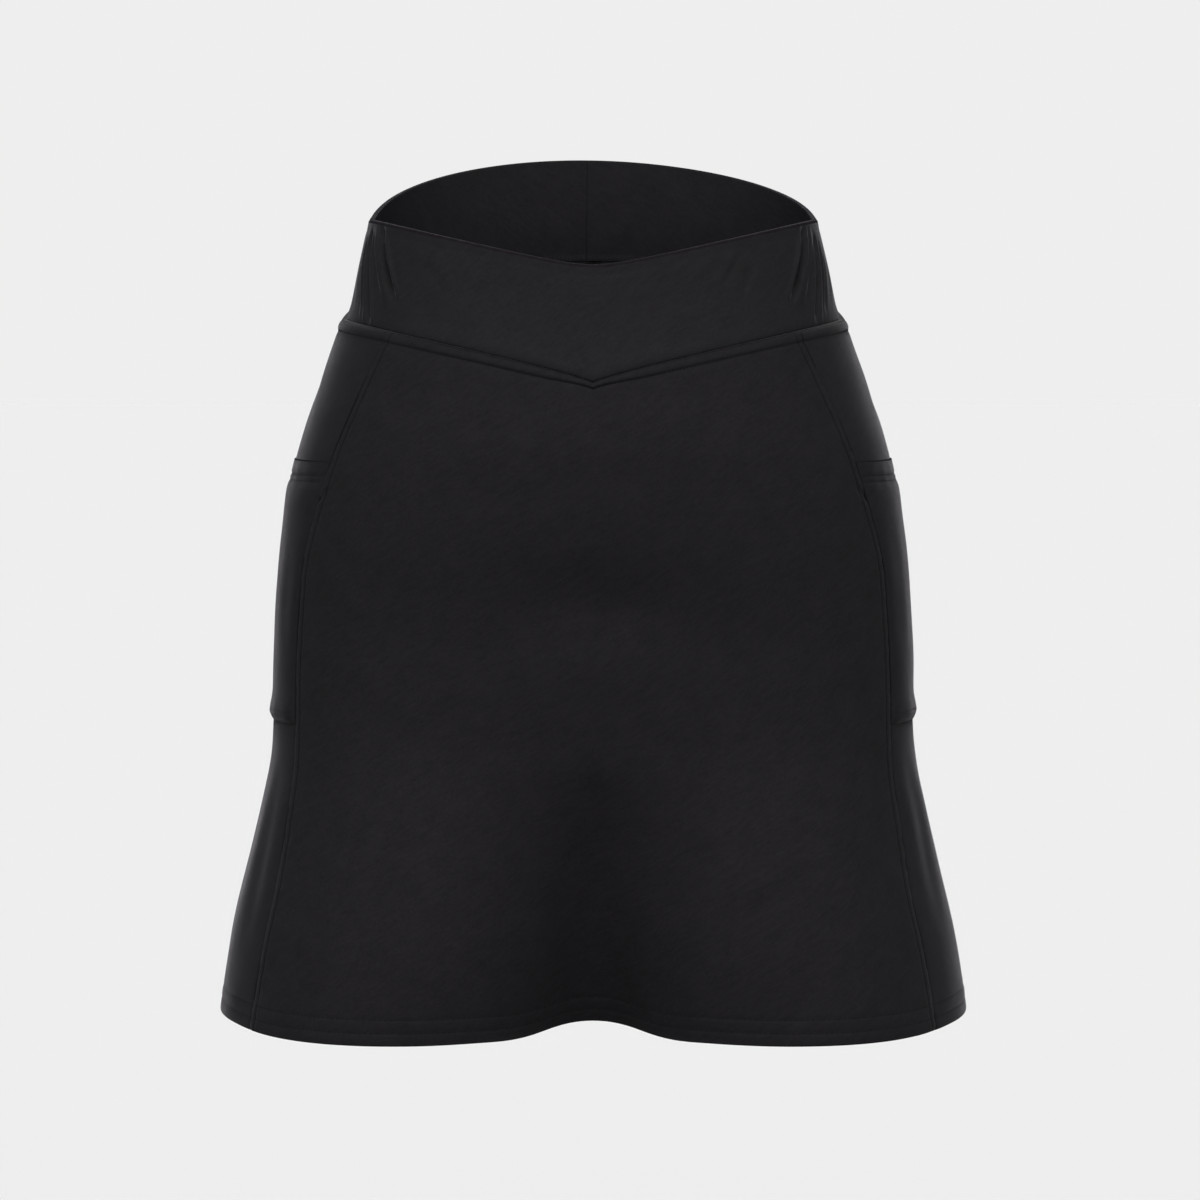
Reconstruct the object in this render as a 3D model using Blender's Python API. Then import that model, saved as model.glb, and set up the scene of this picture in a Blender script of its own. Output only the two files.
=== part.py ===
"""A tennis skort: an A-line sports skirt with a wide V-shaped waistband, princess seams, two flat
side pockets and short inner tights, standing in the hollow form it has when it is worn.

Frame: metres, +Z up, the front faces -Y and the wearer's left is +X. The origin is on the garment's
middle line, level with the middle of the waistband at the sides. Tables and sizes are in
millimetres, and an angle round the body runs from 0 at the centre front over 90 at the wearer's
left side to 180 at the centre back."""

import math

import bmesh
import bpy
from mathutils import Vector

COLLECTION_NAME = "tennis_skort"
MM = 0.001

# Cloth thicknesses and clearances.
SKIRT_THICK = 1.4
HEM_THICK = 2.6
BAND_THICK = 2.8
SHORTS_THICK = 1.2
POCKET_THICK = 1.1
CLEARANCE = 0.3                 # between cloth layers and across every seam
BAND_INSET = 3.4                # the waistband lies this far inside the line of the skirt
BAND_EDGE_ROUND = 0.8           # softening of the waistband's folded top edge

# The line of the skirt's outer face, carried on upward through the waistband.
# Heights are from the origin, depths from the middle line; "square" is 2 for an ellipse and more
# for a boxier section; "valley" is how far the centre front sinks back and "lobe" how far the
# cloth beside it swings out.
RING_COLUMNS = ("height", "half_width", "front", "back", "square", "valley", "lobe")
RINGS = (
    (65.0, 117.0, 90.0, 92.0, 2.05, 0.0, 0.0),
    (26.0, 124.4, 93.0, 97.0, 2.05, 0.0, 0.0),
    (0.0, 130.4, 96.0, 102.0, 2.05, 0.0, 0.0),
    (-28.0, 136.6, 100.0, 108.5, 2.08, 0.0, 0.0),
    (-60.0, 147.4, 106.5, 117.0, 2.12, 0.0, 0.0),
    (-102.0, 161.0, 113.0, 126.0, 2.16, 0.0, 0.0),
    (-147.0, 169.1, 112.5, 131.5, 2.20, 0.0, 0.0),
    (-202.0, 173.0, 108.0, 131.0, 2.25, 0.0, 1.0),
    (-245.0, 174.0, 108.0, 127.0, 2.30, 2.0, 3.0),
    (-265.0, 175.6, 109.0, 125.5, 2.33, 5.0, 5.0),
    (-290.0, 181.0, 111.0, 125.0, 2.36, 11.0, 8.0),
    (-320.0, 188.0, 113.5, 125.5, 2.40, 19.0, 11.5),
    (-356.0, 196.9, 116.5, 126.5, 2.44, 29.0, 15.5),
    (-401.0, 204.7, 119.5, 128.0, 2.48, 42.0, 20.0),
)
VALLEY_SPREAD = 14.5            # degrees
LOBE_ANGLE = 33.0
LOBE_SPREAD = 17.0
BACK_VALLEY_SHARE = 0.5         # the back hangs in the same folds, but shallower
BACK_LOBE_SHARE = 0.7

# The princess seams between the front and the side panels.
PRINCESS_COLUMNS = ("height", "angle")
PRINCESS_SEAM = (
    (-30.0, 50.0),
    (-85.0, 55.5),
    (-120.0, 58.3),
    (-168.0, 62.2),
    (-223.0, 62.2),
    (-255.0, 61.2),
    (-290.0, 58.8),
    (-345.0, 55.7),
    (-402.0, 56.8),
)
BACK_PRINCESS_SHIFT = 8.0       # the back seams stand this many degrees nearer the side

# Edges that run round the body.
TOP_SIDE = 26.0
TOP_FRONT_DROP = 26.0
TOP_FRONT_SOFTNESS = 0.12
TOP_BACK_RISE = 36.5
TOP_BACK_LEAN = 0.06            # the back edge stands a little higher on the wearer's right
BACK_SEAM_ANGLE = 181.8
SEAM_SIDE = -28.0
SEAM_FRONT_DROP = 33.0
SEAM_FRONT_SHARPNESS = 0.85
SEAM_BACK_RISE = 34.0
HEM_SIDE = -402.8
HEM_FOLD = 13.8

# The hem's shallow waves.
HEM_WAVES = (
    # degrees from the front, rise, spread
    (0.0, 2.8, 5.0),
    (11.0, -1.7, 5.0),
    (52.0, -1.5, 13.0),
    (180.0, 2.2, 12.0),
)

# The corded ridge under the waist seam: how far below the seam, how far it stands out, and how
# thick the folded layers are there.
RIDGE_COLUMNS = ("below", "raise", "thick")
RIDGE = (
    (0.0, -0.6, 3.2),
    (1.2, 0.5, 4.3),
    (2.8, 0.9, 4.7),
    (4.4, 0.5, 4.1),
    (5.8, -0.2, 2.6),
    (11.0, 0.0, SKIRT_THICK),
)
HEM_ROWS = (HEM_FOLD + 1.5, HEM_FOLD, HEM_FOLD / 2.0, 0.0)

POCKET_TOP = -102.5
POCKET_BOTTOM = -243.0

# Inner tights: half sections of the trunk, and the leg they close round.
TRUNK_COLUMNS = ("height", "half_width", "front", "back")
TRUNK = (
    (10.0, 123.4, 90.2, 95.0),
    (-28.0, 131.8, 95.6, 104.0),
    (-60.0, 140.0, 100.5, 110.5),
    (-102.0, 152.5, 105.0, 117.5),
    (-147.0, 162.0, 104.5, 123.0),
    (-202.0, 166.0, 100.0, 123.0),
    (-255.0, 166.0, 96.0, 116.0),
)
LEG_COLUMNS = ("height", "inner", "outer", "middle", "half_depth")
LEG = (
    (-140.0, CLEARANCE / 2.0, 166.0, 6.0, 98.0),
    (-252.0, CLEARANCE / 2.0, 165.0, 6.0, 96.0),
    (-350.0, 7.0, 159.0, 6.0, 85.0),
)
FORK_START = -140.0             # the trunk starts to close towards the fork here
FORK = -252.0
FORK_FULLNESS = 3.0
LEG_HEM = -350.0
LEG_HEM_FOLD = 18.0
LEG_HEM_THICK = 2.0

# Mesh density.
FRONT_COLUMNS = 26
SIDE_COLUMNS = 9
BACK_COLUMNS = 20
UPPER_ROWS = 3                  # from the ridge to the pocket tops
POCKET_ROWS = 7                 # down the pockets
LOWER_ROWS = 5                  # from the pocket bottoms to the hem
BAND_FRONT_COLUMNS = 32
BAND_BACK_COLUMNS = 15
BAND_ROWS = 5
SHORTS_COLUMNS = 13
TRUNK_ROWS = 5
FORK_ROWS = 6
LEG_ROWS = 4


# ---- reading the tables -------------------------------------------------------------------------

def read(table, columns, name, height):
    """One column of a table at any height, as a smooth curve through its rows that is level
    wherever the column turns or stays the same."""
    column = columns.index(name)
    top, bottom = table[0][0], table[-1][0]
    height = max(min(height, top), bottom)
    last = len(table) - 1
    row = 0
    while row < last - 1 and height < table[row + 1][0]:
        row += 1

    def slope(k):
        low, high = max(k - 1, 0), min(k + 1, last)
        before = table[k][column] - table[low][column]
        after = table[high][column] - table[k][column]
        if 0 < k < last and before * after <= 0.0:
            return 0.0
        return (table[high][column] - table[low][column]) / (table[high][0] - table[low][0])

    step = table[row + 1][0] - table[row][0]
    s = (height - table[row][0]) / step
    here, there = table[row][column], table[row + 1][column]
    return ((2 * s ** 3 - 3 * s ** 2 + 1) * here + (s ** 3 - 2 * s ** 2 + s) * step * slope(row)
            + (3 * s ** 2 - 2 * s ** 3) * there + (s ** 3 - s ** 2) * step * slope(row + 1))


def bell(distance, spread):
    return math.exp(-(distance / spread) ** 2)


# ---- the line of the skirt ----------------------------------------------------------------------

def from_middle(angle):
    """Degrees from the centre front, 0 to 180, the same on both sides."""
    return abs((angle + 180.0) % 360.0 - 180.0)


def fold(angle, height):
    """How far the hanging folds move the cloth out at this place."""
    valley = read(RINGS, RING_COLUMNS, "valley", height)
    lobe = read(RINGS, RING_COLUMNS, "lobe", height)
    away = from_middle(angle)
    front = lobe * bell(away - LOBE_ANGLE, LOBE_SPREAD) - valley * bell(away, VALLEY_SPREAD)
    away = 180.0 - away
    back = (BACK_LOBE_SHARE * lobe * bell(away - LOBE_ANGLE, LOBE_SPREAD)
            - BACK_VALLEY_SHARE * valley * bell(away, VALLEY_SPREAD))
    return front + back


def ring_point(angle, height):
    """A point on the skirt's outer line, in millimetres."""
    sine, cosine = math.sin(math.radians(angle)), math.cos(math.radians(angle))
    square = read(RINGS, RING_COLUMNS, "square", height)
    swell = (abs(sine) ** square + abs(cosine) ** square) ** (-1.0 / square)
    half_width = read(RINGS, RING_COLUMNS, "half_width", height)
    depth = read(RINGS, RING_COLUMNS, "front" if cosine > 0 else "back", height)
    moved = fold(angle, height)
    return Vector((half_width * swell * sine + moved * sine,
                   -depth * swell * cosine - moved * cosine,
                   height))


def inside(angle, height, depth):
    """The same point moved level into the hollow by this depth, or out where it is negative."""
    step = 0.5
    along = ring_point(angle + step, height) - ring_point(angle - step, height)
    inward = Vector((-along.y, along.x, 0.0)).normalized()
    return ring_point(angle, height) + inward * depth


def angle_for(distance, angle, height):
    """The angle that a distance along the ring takes up at this place."""
    step = 0.5
    along = ring_point(angle + step, height) - ring_point(angle - step, height)
    return distance * 2.0 * step / along.length


# ---- edges and seams ----------------------------------------------------------------------------

def top_edge(angle):
    """The waistband's top: a soft V at the front, rising to the centre back."""
    sine, cosine = abs(math.sin(math.radians(angle))), math.cos(math.radians(angle))
    if cosine < 0:
        lean = 1.0 - TOP_BACK_LEAN * math.sin(math.radians(angle))
        return TOP_SIDE - TOP_BACK_RISE * cosine * lean
    soft = TOP_FRONT_SOFTNESS
    share = (math.hypot(sine, soft) - soft) / (math.hypot(1.0, soft) - soft)
    return TOP_SIDE - TOP_FRONT_DROP * (1.0 - share)


def waist_seam(angle):
    """The seam under the waistband: a sharper V at the front, rising to the centre back."""
    sine, cosine = abs(math.sin(math.radians(angle))), math.cos(math.radians(angle))
    if cosine < 0:
        return SEAM_SIDE - SEAM_BACK_RISE * cosine
    return SEAM_SIDE - SEAM_FRONT_DROP * (1.0 - sine ** SEAM_FRONT_SHARPNESS)


def hem_edge(angle):
    away = from_middle(angle)
    return HEM_SIDE + sum(rise * bell(away - middle, width) for middle, rise, width in HEM_WAVES)


def skirt_rows():
    """The rows of every skirt panel from the waist seam to the hem: millimetres below the seam,
    shares of three stretches that the pocket's edges part, and millimetres above the hem."""
    rows = [("below", row[0]) for row in RIDGE]
    rows += [("upper", k / UPPER_ROWS) for k in range(1, UPPER_ROWS)]
    rows += pocket_rows()
    rows += [("lower", k / LOWER_ROWS) for k in range(1, LOWER_ROWS)]
    return rows + [("above", rise) for rise in HEM_ROWS]


def pocket_rows():
    return [("pocket", k / POCKET_ROWS) for k in range(POCKET_ROWS + 1)]


def skirt_height(angle, row):
    kind, amount = row
    top = waist_seam(angle) - CLEARANCE
    hem = hem_edge(angle)
    if kind == "below":
        return top - amount
    if kind == "above":
        return hem + amount
    start, end = {"upper": (top - RIDGE[-1][0], POCKET_TOP),
                  "pocket": (POCKET_TOP, POCKET_BOTTOM),
                  "lower": (POCKET_BOTTOM, hem + HEM_ROWS[0])}[kind]
    return start + (end - start) * amount


def princess_angle(row, back):
    """Where the front or back princess seam crosses a row, on the wearer's left."""
    angle = 60.0
    for _ in range(12):
        around = 180.0 - angle if back else angle
        angle = read(PRINCESS_SEAM, PRINCESS_COLUMNS, "angle", skirt_height(around, row))
        if back:
            angle += BACK_PRINCESS_SHIFT
    return 180.0 - angle if back else angle


# ---- closing two faces of cloth into a wall -----------------------------------------------------

def wall(name, outer, inner, material):
    """A closed sheet from an outer and an inner grid of points, rows running down and columns
    running with the angle, so that the faces point out."""
    rows, columns = len(outer), len(outer[0])
    mesh = bpy.data.meshes.new(name)
    shape = bmesh.new()
    face_out = [[shape.verts.new(point * MM) for point in row] for row in outer]
    face_in = [[shape.verts.new(point * MM) for point in row] for row in inner]
    for r in range(rows - 1):
        for c in range(columns - 1):
            shape.faces.new((face_out[r][c], face_out[r + 1][c],
                             face_out[r + 1][c + 1], face_out[r][c + 1]))
            shape.faces.new((face_in[r][c], face_in[r][c + 1],
                             face_in[r + 1][c + 1], face_in[r + 1][c]))
    rim = [(0, c) for c in range(columns)]
    rim += [(r, columns - 1) for r in range(1, rows)]
    rim += [(rows - 1, c) for c in range(columns - 2, -1, -1)]
    rim += [(r, 0) for r in range(rows - 2, 0, -1)]
    for (r0, c0), (r1, c1) in zip(rim, rim[1:] + rim[:1]):
        shape.faces.new((face_out[r0][c0], face_out[r1][c1], face_in[r1][c1], face_in[r0][c0]))
    bmesh.ops.triangulate(shape, faces=shape.faces[:])
    bmesh.ops.recalc_face_normals(shape, faces=shape.faces[:])
    shape.to_mesh(mesh)
    shape.free()
    mesh.shade_smooth()
    mesh.set_sharp_from_angle(angle=math.radians(50.0))
    mesh.materials.append(material)
    piece = bpy.data.objects.new(name, mesh)
    bpy.data.collections[COLLECTION_NAME].objects.link(piece)
    return piece


def mirrored(grid):
    """The same grid on the other side of the body, columns still running with the angle."""
    return [[Vector((-point.x, point.y, point.z)) for point in reversed(row)] for row in grid]


def spread(start, end, count):
    return [start + (end - start) * k / count for k in range(count + 1)]


# ---- the cut pieces -----------------------------------------------------------------------------

def cloth(name, colour, roughness):
    """A matt knit in one colour."""
    material = bpy.data.materials.new(name)
    material.use_nodes = True
    shader = material.node_tree.nodes["Principled BSDF"]
    shader.inputs["Base Color"].default_value = (*colour, 1.0)
    shader.inputs["Roughness"].default_value = roughness
    shader.inputs["Metallic"].default_value = 0.0
    material.diffuse_color = (*colour, 1.0)
    return material


def front_seam(row):
    return princess_angle(row, False)


def back_seam(row):
    return princess_angle(row, True)


def panel_angles(row, start, end, columns):
    """The angles of a panel's points along a row, half a clearance short of the seams that the
    functions start and end give."""
    first, last = start(row), end(row)
    first += angle_for(CLEARANCE / 2.0, first, skirt_height(first, row))
    last -= angle_for(CLEARANCE / 2.0, last, skirt_height(last, row))
    return spread(first, last, columns)


def skirt_panel(name, start, end, columns, material, mirror=False):
    """A skirt panel between two seams."""
    outer, inner = [], []
    for row in skirt_rows():
        raised, thick = 0.0, SKIRT_THICK
        if row[0] == "below":
            raised = read_ridge("raise", row[1])
            thick = read_ridge("thick", row[1])
        elif row[0] == "above" and row[1] <= HEM_FOLD:
            thick = HEM_THICK
        places = [(angle, skirt_height(angle, row))
                  for angle in panel_angles(row, start, end, columns)]
        outer.append([inside(angle, height, -raised) for angle, height in places])
        inner.append([inside(angle, height, thick - raised) for angle, height in places])
    if mirror:
        outer, inner = mirrored(outer), mirrored(inner)
    return wall(name, outer, inner, material)


def read_ridge(name, below):
    for row in RIDGE:
        if row[0] == below:
            return row[RIDGE_COLUMNS.index(name)]
    return 0.0


def waistband(name, first, last, columns, material):
    """A length of the doubled waistband between two angles."""
    first += angle_for(CLEARANCE / 2.0, first, 0.0)
    last -= angle_for(CLEARANCE / 2.0, last, 0.0)
    outer, inner = [], []
    for r in range(BAND_ROWS + 2):
        outer_row, inner_row = [], []
        for angle in spread(first, last, columns):
            top, bottom = top_edge(angle), waist_seam(angle)
            rounding = BAND_EDGE_ROUND if r == 0 else 0.0
            if r == 0:
                height = top
            else:
                shoulder = top - BAND_EDGE_ROUND * 1.5
                height = shoulder + (bottom - shoulder) * (r - 1) / BAND_ROWS
            outer_row.append(inside(angle, height, BAND_INSET + rounding))
            inner_row.append(inside(angle, height, BAND_INSET + BAND_THICK - rounding))
        outer.append(outer_row)
        inner.append(inner_row)
    return wall(name, outer, inner, material)


def pocket(name, material, mirror=False):
    """The pocket on a side panel, made from the panel's own points moved out."""
    outer, inner = [], []
    for row in pocket_rows():
        places = [(angle, skirt_height(angle, row))
                  for angle in panel_angles(row, front_seam, back_seam, SIDE_COLUMNS)]
        outer.append([inside(angle, height, -CLEARANCE - POCKET_THICK) for angle, height in places])
        inner.append([inside(angle, height, -CLEARANCE) for angle, height in places])
    if mirror:
        outer, inner = mirrored(outer), mirrored(inner)
    return wall(name, outer, inner, material)


def shorts_point(share, height, closing):
    """The tights' outer face on the wearer's left: share runs from the centre front round the
    hip to the centre back, and closing turns the open trunk section into the closed leg."""
    angle = math.radians(180.0 * share)
    trunk = Vector((read(TRUNK, TRUNK_COLUMNS, "half_width", height) * math.sin(angle),
                    -read(TRUNK, TRUNK_COLUMNS, "front" if share < 0.5 else "back", height)
                    * math.cos(angle), height))
    angle = math.radians(360.0 * share - 90.0)
    leg_inner = read(LEG, LEG_COLUMNS, "inner", height)
    leg_outer = read(LEG, LEG_COLUMNS, "outer", height)
    leg = Vector(((leg_outer + leg_inner + (leg_outer - leg_inner) * math.sin(angle)) / 2.0,
                  read(LEG, LEG_COLUMNS, "middle", height)
                  - read(LEG, LEG_COLUMNS, "half_depth", height) * math.cos(angle), height))
    return trunk.lerp(leg, closing)


def shorts_rows():
    """Rows from the waist seam to the leg hem, each as a way of finding its height and how far
    the section has closed."""
    rows = [("trunk", k / TRUNK_ROWS) for k in range(TRUNK_ROWS)]
    rows += [("fork", 1.0 - (1.0 - k / FORK_ROWS) ** 1.6) for k in range(FORK_ROWS + 1)]
    rows += [("leg", k / LEG_ROWS) for k in range(1, LEG_ROWS)]
    return rows + [("hem", rise) for rise in (LEG_HEM_FOLD + 1.0, LEG_HEM_FOLD, 0.0)]


def shorts_place(share, row):
    kind, amount = row
    if kind == "trunk":
        top = waist_seam(180.0 * share) - CLEARANCE
        return top + (FORK_START - top) * amount, 0.0
    if kind == "fork":
        return FORK_START + (FORK - FORK_START) * amount, amount ** FORK_FULLNESS
    if kind == "leg":
        return FORK + (LEG_HEM + LEG_HEM_FOLD + 1.0 - FORK) * amount, 1.0
    return LEG_HEM + amount, 1.0


def shorts_inward(share, rows, r):
    """The direction square to the tights' outer face, into the hollow."""
    def at(place, row):
        return shorts_point(place, *shorts_place(place, row))

    step = 0.004
    across = at(share + step, rows[r]) - at(share - step, rows[r])
    down = at(share, rows[min(r + 1, len(rows) - 1)]) - at(share, rows[max(r - 1, 0)])
    return across.cross(down).normalized()


def shorts_panel(name, half, material, mirror=False):
    """The front or back panel of one leg of the tights, from the middle line and the inseam to
    the side seam."""
    rows = shorts_rows()
    half_depth = read(LEG, LEG_COLUMNS, "half_depth", FORK)
    margin = CLEARANCE / 2.0 / (2.0 * math.pi * half_depth)
    shares = spread(margin, 0.5 - 2.0 * margin, SHORTS_COLUMNS)
    if half == "back":
        shares = [1.0 - share for share in reversed(shares)]
    outer, inner = [], []
    for r, row in enumerate(rows):
        thick = LEG_HEM_THICK if row[0] == "hem" and row[1] <= LEG_HEM_FOLD else SHORTS_THICK
        outer.append([shorts_point(share, *shorts_place(share, row)) for share in shares])
        inner.append([point + shorts_inward(share, rows, r) * thick
                      for point, share in zip(outer[-1], shares)])
    if mirror:
        outer, inner = mirrored(outer), mirrored(inner)
    return wall(name, outer, inner, material)


# ---- the skort ----------------------------------------------------------------------------------

for thing in list(bpy.data.objects):
    bpy.data.objects.remove(thing, do_unlink=True)
collection = bpy.data.collections.new(COLLECTION_NAME)
bpy.context.scene.collection.children.link(collection)

BLACK_KNIT = (0.016, 0.015, 0.017)
BAND_KNIT = (0.018, 0.017, 0.019)
TIGHTS_KNIT = (0.012, 0.012, 0.013)

waistband("waistband_front", -90.0, 90.0, BAND_FRONT_COLUMNS, cloth("band_front", BAND_KNIT, 0.62))
waistband("waistband_back_left", 90.0, BACK_SEAM_ANGLE, BAND_BACK_COLUMNS,
          cloth("band_back_left", BAND_KNIT, 0.62))
waistband("waistband_back_right", BACK_SEAM_ANGLE, 270.0, BAND_BACK_COLUMNS,
          cloth("band_back_right", BAND_KNIT, 0.62))

skirt_panel("skirt_front", lambda row: -front_seam(row), front_seam, FRONT_COLUMNS,
            cloth("skirt_front", BLACK_KNIT, 0.7))
for side, flip in (("left", False), ("right", True)):
    skirt_panel("skirt_side_" + side, front_seam, back_seam, SIDE_COLUMNS,
                cloth("skirt_side_" + side, BLACK_KNIT, 0.7), flip)
    pocket("pocket_" + side, cloth("pocket_" + side, BLACK_KNIT, 0.7), flip)
    for half in ("front", "back"):
        panel = "shorts_" + half + "_" + side
        shorts_panel(panel, half, cloth(panel, TIGHTS_KNIT, 0.66), flip)
skirt_panel("skirt_back", back_seam, lambda row: 360.0 - back_seam(row), BACK_COLUMNS,
            cloth("skirt_back", BLACK_KNIT, 0.7))
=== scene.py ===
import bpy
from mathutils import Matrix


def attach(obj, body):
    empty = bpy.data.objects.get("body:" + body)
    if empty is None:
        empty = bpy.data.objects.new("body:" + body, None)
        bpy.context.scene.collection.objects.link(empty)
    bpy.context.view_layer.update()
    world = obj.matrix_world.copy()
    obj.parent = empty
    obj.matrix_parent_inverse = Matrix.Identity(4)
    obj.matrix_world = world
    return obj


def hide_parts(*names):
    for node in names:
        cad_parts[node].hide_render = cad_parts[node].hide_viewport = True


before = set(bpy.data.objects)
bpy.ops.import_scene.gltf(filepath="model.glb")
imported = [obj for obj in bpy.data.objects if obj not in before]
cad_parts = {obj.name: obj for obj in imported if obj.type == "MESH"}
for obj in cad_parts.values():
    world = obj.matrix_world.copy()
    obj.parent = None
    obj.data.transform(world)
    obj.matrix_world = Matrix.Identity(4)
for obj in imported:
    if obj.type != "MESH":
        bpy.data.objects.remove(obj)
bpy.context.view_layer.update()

import math

import bpy
import numpy as np
from mathutils import Matrix, Vector, noise
from mathutils.bvhtree import BVHTree

# Sizes and tables are in millimetres, and an angle round the body runs from 0 at the centre front
# over 90 at the wearer's left side to 180 at the centre back, or down to -180 over the right side.
MM = 0.001

# ---- Camera ----------------------------------------------
# The skort is looked at from straight in front, 2 m away, with the camera a little above the middle
# of the garment and tipped down to it.
LOOKING_DOWN = 3.897            # degrees
bpy.ops.object.camera_add(location=(0.00365, -2.0, -0.04385),
                          rotation=(math.radians(90.0 - LOOKING_DOWN), 0.0, 0.0))
camera = bpy.context.object
camera.data.sensor_width = 36.0
camera.data.lens = 110.35
bpy.context.scene.camera = camera
bpy.context.scene.view_settings.view_transform = "Standard"
bpy.context.scene.view_settings.look = "None"

# ---- Studio ----------------------------------------------
# A matt pale floor under an even pale surround, lit by wide soft lights: a high key from the front,
# low fills from in front and from each side, and a high light from behind.
PAPER = 0.855                   # brightness of the surround and of the lit floor
SURROUND_LIGHT = 0.16           # light that the surround gives
FLOOR_BOUNCE = 0.16             # share of the light that comes back from the floor on to the cloth
FLOOR_HEIGHT = -0.95
LOW_LIGHT = 0.02                # the wide low lights reach the floor a little more than their middles
SOFT_LIGHTS = (
    # name, angle round the body, height above level in degrees, strength, width in degrees
    ("key", -2.0, 48.0, 1.13, 45.0),
    ("low_front", 0.0, 12.0, 0.31, 60.0),
    ("fill_left", 60.0, 10.0, 0.90, 50.0),
    ("fill_right", -60.0, 10.0, 0.94, 50.0),
    ("back", 180.0, 50.0, 2.1, 45.0),
)

falling = LOW_LIGHT
for light_name, around, above, strength, width in SOFT_LIGHTS:
    bpy.ops.object.light_add(type="SUN", location=(0.0, 0.0, 2.0), rotation=(
        math.radians(90.0 - above), 0.0, math.radians(around)))
    light = bpy.context.object
    light.name = light.data.name = light_name
    light.data.energy = strength
    light.data.angle = math.radians(width)
    falling += strength * math.sin(math.radians(above)) / math.pi


def seen_and_given(tree, seen, given):
    """What the camera sees of a surface of the studio, and what its light is worth elsewhere."""
    path, mix = tree.nodes.new("ShaderNodeLightPath"), tree.nodes.new("ShaderNodeMixShader")
    tree.links.new(path.outputs["Is Camera Ray"], mix.inputs["Fac"])
    tree.links.new(given.outputs[0], mix.inputs[1])
    tree.links.new(seen.outputs[0], mix.inputs[2])
    return mix


surround = bpy.context.scene.world or bpy.data.worlds.new("surround")
bpy.context.scene.world = surround
surround.use_nodes = True
tree = surround.node_tree
tree.nodes.clear()
shades = []
for brightness in (PAPER, SURROUND_LIGHT):
    shades.append(tree.nodes.new("ShaderNodeBackground"))
    shades[-1].inputs["Color"].default_value = (brightness, brightness, brightness, 1.0)
tree.links.new(seen_and_given(tree, *shades).outputs[0],
               tree.nodes.new("ShaderNodeOutputWorld").inputs["Surface"])

bpy.ops.mesh.primitive_circle_add(vertices=96, radius=60.0, fill_type="NGON",
                                  location=(0.0, 0.0, FLOOR_HEIGHT))
floor = bpy.context.object
floor.name = "floor"
bpy.ops.object.transform_apply(location=True)
paper = bpy.data.materials.new("floor_paper")
paper.use_nodes = True
tree = paper.node_tree
tree.nodes.remove(tree.nodes["Principled BSDF"])
shades = []
for share in (1.0, FLOOR_BOUNCE):
    lightness = share * PAPER / (SURROUND_LIGHT + falling)
    shades.append(tree.nodes.new("ShaderNodeBsdfDiffuse"))
    shades[-1].inputs["Color"].default_value = (lightness, lightness, lightness, 1.0)
tree.links.new(seen_and_given(tree, *shades).outputs[0], tree.nodes["Material Output"].inputs["Surface"])
floor.data.materials.append(paper)

# ---- Front panel -----------------------------------------
# One A-line panel of black nylon and elastane jersey with a V-shaped waist edge. It is seamed to
# the side panels down the princess lines, and its hem is turned up 14 mm and coverstitched.
SEAM_OVERLAP = 0.15             # sewn edges run this far into each other
SKIRT_THICK = 1.4
HEM_THICK = 2.6
HEM_FOLD = 13.8
HEM_GAUGE = 7.0                 # between the two rows of stitches
RINGS = (                       # height, half width, front, back, square, valley, lobe
    (65.0, 117.0, 90.0, 92.0, 2.05, 0.0, 0.0),
    (26.0, 124.4, 93.0, 97.0, 2.05, 0.0, 0.0),
    (0.0, 130.4, 96.0, 102.0, 2.05, 0.0, 0.0),
    (-28.0, 136.6, 100.0, 108.5, 2.08, 0.0, 0.0),
    (-60.0, 147.4, 106.5, 117.0, 2.12, 0.0, 0.0),
    (-102.0, 161.0, 113.0, 126.0, 2.16, 0.0, 0.0),
    (-147.0, 169.1, 112.5, 131.5, 2.20, 0.0, 0.0),
    (-202.0, 173.0, 108.0, 131.0, 2.25, 0.0, 1.0),
    (-245.0, 174.0, 108.0, 127.0, 2.30, 2.0, 3.0),
    (-265.0, 175.6, 109.0, 125.5, 2.33, 5.0, 5.0),
    (-290.0, 181.0, 111.0, 125.0, 2.36, 11.0, 8.0),
    (-320.0, 188.0, 113.5, 125.5, 2.40, 19.0, 11.5),
    (-356.0, 196.9, 116.5, 126.5, 2.44, 29.0, 15.5),
    (-401.0, 204.7, 119.5, 128.0, 2.48, 42.0, 20.0),
)
HALF_WIDTH, FRONT, BACK, SQUARE, VALLEY, LOBE = 1, 2, 3, 4, 5, 6
VALLEY_SPREAD = 14.5
LOBE_ANGLE = 33.0
LOBE_SPREAD = 17.0
BACK_VALLEY_SHARE = 0.5         # the back hangs in the same folds, but shallower
BACK_LOBE_SHARE = 0.7
PRINCESS_SEAM = (               # height, angle
    (-30.0, 50.0), (-85.0, 55.5), (-120.0, 58.3), (-168.0, 62.2), (-223.0, 62.2),
    (-255.0, 61.2), (-290.0, 58.8), (-345.0, 55.7), (-402.0, 56.8),
)
BACK_PRINCESS_SHIFT = 8.0       # the back seams stand this many degrees nearer the side
SEAM_SIDE = -28.0               # the waist seam at the sides, its V in front and its rise behind
SEAM_FRONT_DROP = 33.0
SEAM_FRONT_SHARPNESS = 0.85
SEAM_BACK_RISE = 34.0
HEM_SIDE = -402.8
HEM_WAVES = (                   # degrees from the front, rise, spread
    (0.0, 2.8, 5.0), (11.0, -1.7, 5.0), (52.0, -1.5, 13.0), (180.0, 2.2, 12.0),
)
POCKET_TOP = -102.5
POCKET_BOTTOM = -243.0
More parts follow.
